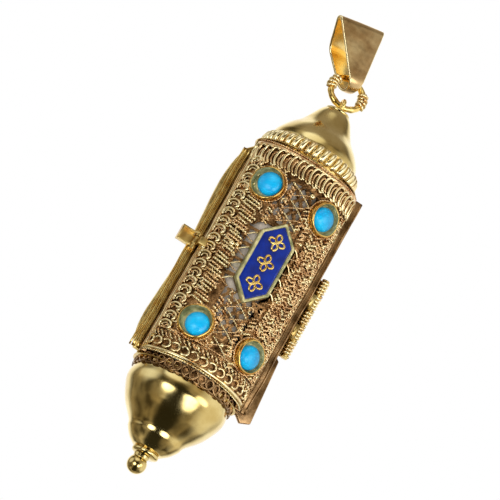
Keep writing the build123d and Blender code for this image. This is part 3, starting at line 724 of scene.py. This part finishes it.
# ---- trims ----------------------------------------------------------------------------------
def coil(radius, middle, across, tall, turns):
    """Wire wound round and round a ring, as a flattened helix."""
    along = np.linspace(0, 2 * math.pi, turns * 22, endpoint=False)
    wind = turns * along
    ring = radius + across * np.cos(wind)
    return np.column_stack([ring * np.cos(along), ring * np.sin(along),
                            MIDDLE + middle + tall * np.sin(wind)])


def core_band(radius, low, high):
    return lathe([(radius, MIDDLE + low), (radius, MIDDLE + high)], segments=96)


upper = coil(4.96, 13.58, 0.26, 0.58, 40)
add_mesh("upper_coil", [(*tube(upper, (0, 0, 1), 0.31, sides=12, closed=True), 0),
                        (*core_band(5.0, 12.6, 14.45), 1)], [PALE, FLAT_GOLD], "case",
         ("upper_coil_trim",))


def loop_chain(radius, middle, size, loops, lift):
    """Wire that runs round a ring in overlapping loops laid flat against it."""
    along = np.linspace(0, 2 * math.pi, loops * 22, endpoint=False)
    wind = loops * along
    turn = along + size / radius * np.cos(wind)
    ring = radius + lift * np.cos(wind * 0.5)
    return np.column_stack([ring * np.cos(turn), ring * np.sin(turn),
                            MIDDLE + middle + size * 0.85 * np.sin(wind)])


# the dark gold band behind the loops and the loops' darker gold are painted shade for the hollow
# seen between them
lower_parts = [(*core_band(5.3, -13.75, -12.5), 1)]
chain = loop_chain(5.43, -13.08, 0.62, 36, 0.06)
lower_parts.append((*tube(chain, np.column_stack([chain[:, :2], 0 * chain[:, 2]]), 0.13,
                          closed=True), 0))
add_mesh("lower_loops", lower_parts, [CHANNEL, SHADED], "case", ("lower_loop_trim",))


# ---- hinge ----------------------------------------------------------------------------------
def block(low, high):
    """Plain box between two corners."""
    corners = np.array([(x, y, z) for z in (low[2], high[2]) for x, y in
                        ((low[0], low[1]), (high[0], low[1]), (high[0], high[1]),
                         (low[0], high[1]))])
    return corners, [(3, 2, 1, 0), (4, 5, 6, 7), (0, 1, 5, 4), (1, 2, 6, 5), (2, 3, 7, 6),
                     (3, 0, 4, 7)]


def hinge_coils(name, node, body, indices, leaf):
    """Knuckles as tight coils of wire round the pin, each with a plain leaf."""
    low, high = HINGE_MIDDLE - HINGE_LENGTH / 2, HINGE_MIDDLE + HINGE_LENGTH / 2
    pitch = (high - low) / 5
    parts = []
    for index in indices:
        bottom, top = low + index * pitch + 0.16, low + (index + 1) * pitch - 0.16
        turns = 4
        wind = np.linspace(0, 2 * math.pi * turns, turns * 20)
        path = np.column_stack([HINGE_X + 0.4 * np.cos(wind), HINGE_Y + 0.4 * np.sin(wind),
                                np.linspace(bottom, top, len(wind))])
        parts.append((*tube(path, (0, 0, 1), 0.15, sides=10), 0))
        front, back = leaf
        parts.append((*block((6.6, front, bottom - 0.1), (7.2, back, top + 0.1)), 1))
    if body == "case":
        parts.append((*block((6.6, -0.34, low), (7.82, -0.16, high)), 1))
    add_mesh(name, parts, [PALE, FLAT_GOLD], body, (node,))


hinge_coils("case_knuckle_coils", "case_knuckles", "case", (0, 2, 4), (-0.84, -0.42))
hinge_coils("door_knuckle_coils", "door_knuckles", "door", (1, 3), (-1.44, -1.02))


# ---- rails and flanges ----------------------------------------------------------------------
def ridges(name, body, lines, material, top=12.62):
    """Drawn wires soldered along a flat: (x at the top, x at the bottom, y, radius) each."""
    parts = []
    for top_x, bottom_x, y, radius in lines:
        heights = np.linspace(top, -12.62, 40)
        sway = 0.05 * np.sin(heights * 0.55 + top_x) + 0.03 * np.sin(heights * 1.3)
        path = np.column_stack([np.interp(heights, (-12.6, 12.6), (bottom_x, top_x)) + sway,
                                np.full(40, y), MIDDLE + heights])
        parts.append((*tube(path, (0, -1, 0), radius, sides=10), 0))
    add_mesh(name, parts, [material], body)


softened("left_flange", FLAT_GOLD, "case", 0.14)
# rails, right flange and right rail ridges take the darker gold as painted shade
softened("right_flange", CHANNEL, "case", 0.12)
softened("door_left_rail", CHANNEL, "door", 0.1)
softened("door_right_rail", CHANNEL, "door", 0.12)
ridges("left_flange_ridges", "case", [(-6.50, -6.66, -0.86, 0.17), (-6.14, -6.2, -0.86, 0.14),
                                      (-6.72, -7.0, -0.82, 0.10)], BRIGHT, top=11.2)
ridges("left_rail_ridge", "door", [(-5.86, -5.86, -1.5, 0.11)], ROSE, top=11.2)
ridges("right_rail_ridges", "door", [(6.55, 6.55, -1.5, 0.13), (6.05, 6.1, -1.52, 0.08)],
       CHANNEL)
for node in ("upper_end_plate", "lower_end_plate"):
    softened(node, FLAT_GOLD, "case", 0.08)
for node, body in (("hinge_pin", "case"), ("latch_pin", "case"), ("latch_lugs", "case"),
                   ("door_catch", "door"), ("latch_leaf", "latch"), ("back_shell", "case")):
    softened(node, FLAT_GOLD, body, 0.05)


# ---- parchment ------------------------------------------------------------------------------
def parchment():
    """Sheet rolled up from an open core."""
    turns, inner, outer, thickness = 6.25, 0.95, 2.62, 0.12
    angle = np.linspace(0, 2 * math.pi * turns, int(turns * 56))
    radius = np.linspace(inner, outer, len(angle))
    heights = MIDDLE + np.linspace(-12.83, 10.65, 14)
    rows = []
    for offset in (thickness / 2, -thickness / 2):
        for height in heights:
            rows.append(np.column_stack([(radius + offset) * np.cos(angle + 1.9),
                                         (radius + offset) * np.sin(angle + 1.9),
                                         np.full(len(angle), height)]))
    per_row, tall = len(angle), len(heights)
    front = [face[::-1] for face in grid_faces(tall, per_row)]
    back = [tuple(corner + tall * per_row for corner in face) for face in grid_faces(tall, per_row)]
    ends = []
    for row in (0, tall - 1):
        for k in range(per_row - 1):
            a, b = row * per_row + k, (row + tall) * per_row + k
            ends.append((a, a + 1, b + 1, b) if row else (b, b + 1, a + 1, a))
    for k in (0, per_row - 1):
        for row in range(tall - 1):
            a, b = row * per_row + k, (row + tall) * per_row + k
            ends.append((a, a + per_row, b + per_row, b) if k else (b, b + per_row,
                                                                   a + per_row, a))
    add_mesh("rolled_parchment", [(np.vstack(rows), front + back + ends, 0)], [PARCHMENT], "case",
             ("parchment_scroll",))


parchment()
tie = [(2.72, -0.33), (2.8, -0.3), (2.82, 0.0), (2.8, 0.3), (2.72, 0.33)]
vertices, faces = lathe([(r, MIDDLE + h) for r, h in tie], segments=72)
add_mesh("linen_band", [(vertices, faces, 0)], [LINEN], "case", ("scroll_tie",))

# ---- hanging eye, jump ring and bail --------------------------------------------------------
RING_LEAN, BAIL_SLIP, BAIL_TILT, BAIL_TURN, BAIL_FORWARD = (math.radians(a)
                                                           for a in (20, 9, 14, 11, 22))
RING_RADIUS, RING_WIRE = 1.85, 0.34
ring_up = Matrix.Rotation(-RING_LEAN, 3, "X") @ Vector((0, 0, 1))
ring_normal = Vector((1, 0, 0)).cross(ring_up)
wire_point = RING_RADIUS * (ring_up + Matrix.Rotation(BAIL_SLIP, 3, ring_normal) @ ring_up)
lean_left = Matrix.Rotation(BAIL_SLIP + BAIL_TILT, 3, ring_normal)
bail_up = lean_left @ ring_up
bail_line = Matrix.Rotation(BAIL_TURN, 3, bail_up) @ (lean_left @ Vector((1, 0, 0)))
bail_up = Matrix.Rotation(BAIL_FORWARD, 3, bail_line) @ bail_up
fold_centre = np.array(wire_point - 0.15 * bail_up)
bail_line, bail_up = np.array(bail_line), np.array(bail_up)
bail_back = np.cross(bail_up, bail_line)


def hoop(name, node, body, centre, normal, radius, wire, lumps):
    """Ring of hand-drawn wire, uneven along its length."""
    normal = np.array(Vector(normal).normalized())
    across = normalized(np.cross(normal, (0.0, 0.0, 1.0)))
    up = np.cross(across, normal)
    around = np.linspace(0, 2 * math.pi, 72, endpoint=False)
    path = (np.array(centre) + radius * (np.cos(around)[:, None] * across
            + np.sin(around)[:, None] * up))
    uneven = 1 + lumps * (np.sin(5 * around + 1) + np.sin(11 * around) + np.sin(17 * around + 2))
    vertices, faces = tube(path, normal, wire, sides=14, closed=True)
    spokes = vertices.reshape(72, 14, 3)
    spokes = path[:, None] + (spokes - path[:, None]) * uneven[:, None, None]
    add_mesh(name, [(spokes.reshape(-1, 3), faces, 0)], [BRIGHT], body, (node,))


hoop("jump_ring_wire", "jump_ring", "ring", RING_RADIUS * ring_up, ring_normal, RING_RADIUS,
     RING_WIRE, 0.035)
hoop("eye_wire", "hang_eye", "case", (0, 0, -0.06), (1, 0, 0), 0.70, 0.23, 0.03)


def wound_wire():
    """Thin wire wound a few times round each side of the jump ring."""
    parts = []
    centre = RING_RADIUS * np.array(ring_up)
    for side, first, last in ((-1, -12, 42), (1, -22, 34)):
        wind = np.linspace(0, 2 * math.pi * 4, 90)
        turn = np.radians(np.linspace(first, last, 90))
        out = (side * np.cos(turn)[:, None] * np.array((1.0, 0.0, 0.0))
               + np.sin(turn)[:, None] * np.array(ring_up))
        path = centre + out * (RING_RADIUS + 0.44 * np.cos(wind)[:, None]) \
            + 0.44 * np.sin(wind)[:, None] * np.array(ring_normal)
        parts.append((*tube(path, out, 0.15, sides=8, lumps=0.08), 0))
    add_mesh("jump_ring_winding", parts, [PALE], "ring", ("jump_ring",))


wound_wire()


def hull_loop(circles):
    """Outline of a band stretched round (across, up, radius) circles, counter-clockwise."""
    points = np.array([(x + radius * math.cos(a), z + radius * math.sin(a))
                       for x, z, radius in circles for a in np.linspace(0, 2 * math.pi, 73)])
    points = points[np.lexsort((points[:, 1], points[:, 0]))]
    chains = []
    for ordered in (points, points[::-1]):
        chain = []
        for point in ordered:
            while len(chain) > 1:
                ahead, reach = chain[-1] - chain[-2], point - chain[-2]
                if ahead[0] * reach[1] - ahead[1] * reach[0] > 1e-9:
                    break
                chain.pop()
            chain.append(point)
        chains += chain[:-1]
    return np.array(chains + chains[:1])


def bail_mesh():
    """Tapered strap folded round to a loop, its edges round and its outside slightly crowned; its
    pale edges and paler inside are painted highlights.
    """
    loop = hull_loop(((0, 0, 1.10), (0.92, 3.0, 1.25), (0.3, 5.75, 0.4)))
    travelled = np.concatenate([[0], np.cumsum(np.linalg.norm(np.diff(loop, axis=0), axis=1))])
    at = np.linspace(0, travelled[-1], 181)[:-1]
    loop = np.stack([np.interp(at, travelled, loop[:, k]) for k in (0, 1)], 1)
    for _ in range(3):
        loop = (np.roll(loop, 1, 0) + 2 * loop + np.roll(loop, -1, 0)) / 4
    tangent = normalized(np.roll(loop, -1, 0) - np.roll(loop, 1, 0))
    outward = np.column_stack([tangent[:, 1], -tangent[:, 0]])
    half = 0.40 + 2.45 * (loop[:, 1] + 1.25) / 7.55
    edge = 0.15                    # half the strap's thickness
    bow = np.linspace(0, math.pi, 7)
    across = np.linspace(1, -1, 11)
    strips = []
    # material 2 (pale gold) on the edge bands and material 1 (paler gold) inside are painted
    # highlights
    for material, section in (
            (2, [(1, 0.12 * math.sin(a), edge * math.cos(a)) for a in bow[::-1]]),
            (0, [(t, 0.0, edge + 0.04 * (1 - t * t)) for t in across]),
            (2, [(-1, -0.12 * math.sin(a), edge * math.cos(a)) for a in bow]),
            (1, [(-t, 0.0, -edge) for t in across])):
        rows = np.array([[fold_centre + (width * t + inset) * bail_line
                          + (a + out[0] * lift) * bail_back + (b + out[1] * lift) * bail_up
                          for t, inset, lift in section]
                         for (a, b), out, width in zip(loop, outward, half)])
        strips.append((rows.reshape(-1, 3), grid_faces(len(rows), rows.shape[1],
                                                       closed_rows=True), material))
    add_mesh("bail_strap", strips, [BAIL_OUT, BAIL_IN, PALE], "bail", ("bail",))


bail_mesh()

# ---- camera ---------------------------------------------------------------------------------
DISTANCE = 400.0               # mm from the middle of the case
YAW, LIFT, ROLL, FRAME_TURN = (math.radians(a) for a in (11.27, 16.71, -0.29, 29.8))
OFF_RIGHT, OFF_UP = -0.891, 2.548
VIEW_WIDTH = 50.47             # width of the picture at that distance, mm

look = Vector((math.sin(YAW) * math.cos(LIFT), math.cos(YAW) * math.cos(LIFT), math.sin(LIFT)))
level_right = Vector((math.cos(YAW), -math.sin(YAW), 0))
level_up = level_right.cross(look)
right = math.cos(ROLL) * level_right + math.sin(ROLL) * level_up
up = math.cos(ROLL) * level_up - math.sin(ROLL) * level_right
place = Vector((0, 0, MIDDLE)) - look * DISTANCE + right * OFF_RIGHT + up * OFF_UP
picture_right = right * math.cos(FRAME_TURN) + up * math.sin(FRAME_TURN)
picture_up = up * math.cos(FRAME_TURN) - right * math.sin(FRAME_TURN)
camera_data = bpy.data.cameras.new("camera")
camera_data.sensor_width = 36
camera_data.lens = 36 * DISTANCE / VIEW_WIDTH
camera_data.clip_start = 0.01
camera_data.clip_end = 20
camera = bpy.data.objects.new("camera", camera_data)
camera.matrix_world = Matrix((
    (picture_right.x, picture_up.x, -look.x, place.x * MM),
    (picture_right.y, picture_up.y, -look.y, place.y * MM),
    (picture_right.z, picture_up.z, -look.z, place.z * MM), (0, 0, 0, 1)))
bpy.context.scene.collection.objects.link(camera)
bpy.context.scene.camera = camera

# ---- floor and studio -----------------------------------------------------------------------
FLOOR_Z, FLOOR_HALF = -170.0, 1500.0
floor_mesh = bpy.data.meshes.new("floor")
floor_mesh.from_pydata([(x * FLOOR_HALF * MM, y * FLOOR_HALF * MM, FLOOR_Z * MM)
                        for x, y in ((-1, -1), (1, -1), (1, 1), (-1, 1))], [], [(0, 1, 2, 3)])
floor_mesh.materials.append(FLOOR)
floor = bpy.data.objects.new("floor", floor_mesh)
bpy.context.scene.collection.objects.link(floor)
floor.visible_glossy = False    # polished gold mirrors the studio, not a bare white floor


def studio():
    """World: white to the camera; to everything else a dim warm room with soft white panels."""
    world = bpy.data.worlds.new("studio")
    bpy.context.scene.world = world
    world.use_nodes = True
    tree = world.node_tree
    tree.nodes.clear()
    link = tree.links.new
    direction = tree.nodes.new("ShaderNodeTexCoord").outputs["Generated"]

    noise = tree.nodes.new("ShaderNodeTexNoise")
    noise.inputs["Scale"].default_value = 1.7
    noise.inputs["Detail"].default_value = 2
    link(direction, noise.inputs["Vector"])
    room = tree.nodes.new("ShaderNodeValToRGB")
    room.color_ramp.elements[0].position = 0.38
    room.color_ramp.elements[0].color = (0.06, 0.048, 0.026, 1)
    room.color_ramp.elements[1].position = 0.66
    room.color_ramp.elements[1].color = (0.58, 0.50, 0.37, 1)
    link(noise.outputs["Fac"], room.inputs["Fac"])
    total = room.outputs["Color"]

    def panel(azimuth, elevation, inner, outer, strength, tint=(1, 1, 1)):
        """Adds a round soft panel; azimuth is measured to the right of the camera's side."""
        nonlocal total
        turn = math.radians(azimuth) - YAW - math.pi / 2
        tilt = math.radians(elevation)
        axis = (math.cos(turn) * math.cos(tilt), math.sin(turn) * math.cos(tilt), math.sin(tilt))
        dot = tree.nodes.new("ShaderNodeVectorMath")
        dot.operation = "DOT_PRODUCT"
        link(direction, dot.inputs[0])
        dot.inputs[1].default_value = axis
        fade = tree.nodes.new("ShaderNodeMapRange")
        fade.interpolation_type = "SMOOTHSTEP"
        fade.inputs["From Min"].default_value = math.cos(math.radians(outer))
        fade.inputs["From Max"].default_value = math.cos(math.radians(inner))
        link(dot.outputs["Value"], fade.inputs["Value"])
        mix = tree.nodes.new("ShaderNodeMix")
        mix.data_type = "RGBA"
        mix.clamp_result = False
        link(fade.outputs["Result"], mix.inputs["Factor"])
        link(total, mix.inputs["A"])
        mix.inputs["B"].default_value = tuple(strength * c for c in tint) + (1,)
        total = mix.outputs["Result"]

    panel(180, 16.7, 38, 62, 1.25)               # white sheet behind the object
    panel(88, 5, 24, 55, 1.05, (1.0, 0.98, 0.94))
    panel(-80, 10, 10, 30, 0.9)
    panel(0, 88, 22, 42, 0.34, (1.0, 0.86, 0.70))
    for height in (-86, -62, -40, -8):           # dark gap below the camera
        panel(2, height, 17, 30, 0.03, (1.0, 0.9, 0.55))
    panel(-27, -18, 9, 17, 4.5)
    panel(31, -20, 10, 19, 4.5)
    panel(50, 4, 9, 18, 3.0)
    panel(-25, 50, 16, 30, 1.2)

    lit = tree.nodes.new("ShaderNodeBackground")
    link(total, lit.inputs["Color"])
    seen = tree.nodes.new("ShaderNodeBackground")
    seen.inputs["Color"].default_value = (1, 1, 1, 1)
    ray = tree.nodes.new("ShaderNodeLightPath")
    choose = tree.nodes.new("ShaderNodeMixShader")
    link(ray.outputs["Is Camera Ray"], choose.inputs["Fac"])
    link(lit.outputs["Background"], choose.inputs[1])
    link(seen.outputs["Background"], choose.inputs[2])
    output = tree.nodes.new("ShaderNodeOutputWorld")
    link(choose.outputs["Shader"], output.inputs["Surface"])


studio()

# soft fill from the camera's place that reaches the parchment through the openings; no polished
# piece mirrors it
fill_data = bpy.data.lights.new("fill", "AREA")
fill_data.energy = 2.0
fill_data.size = 0.1
fill = bpy.data.objects.new("fill", fill_data)
fill.matrix_world = camera.matrix_world
fill.visible_glossy = False
bpy.context.scene.collection.objects.link(fill)
bpy.context.scene.view_settings.view_transform = "Standard"
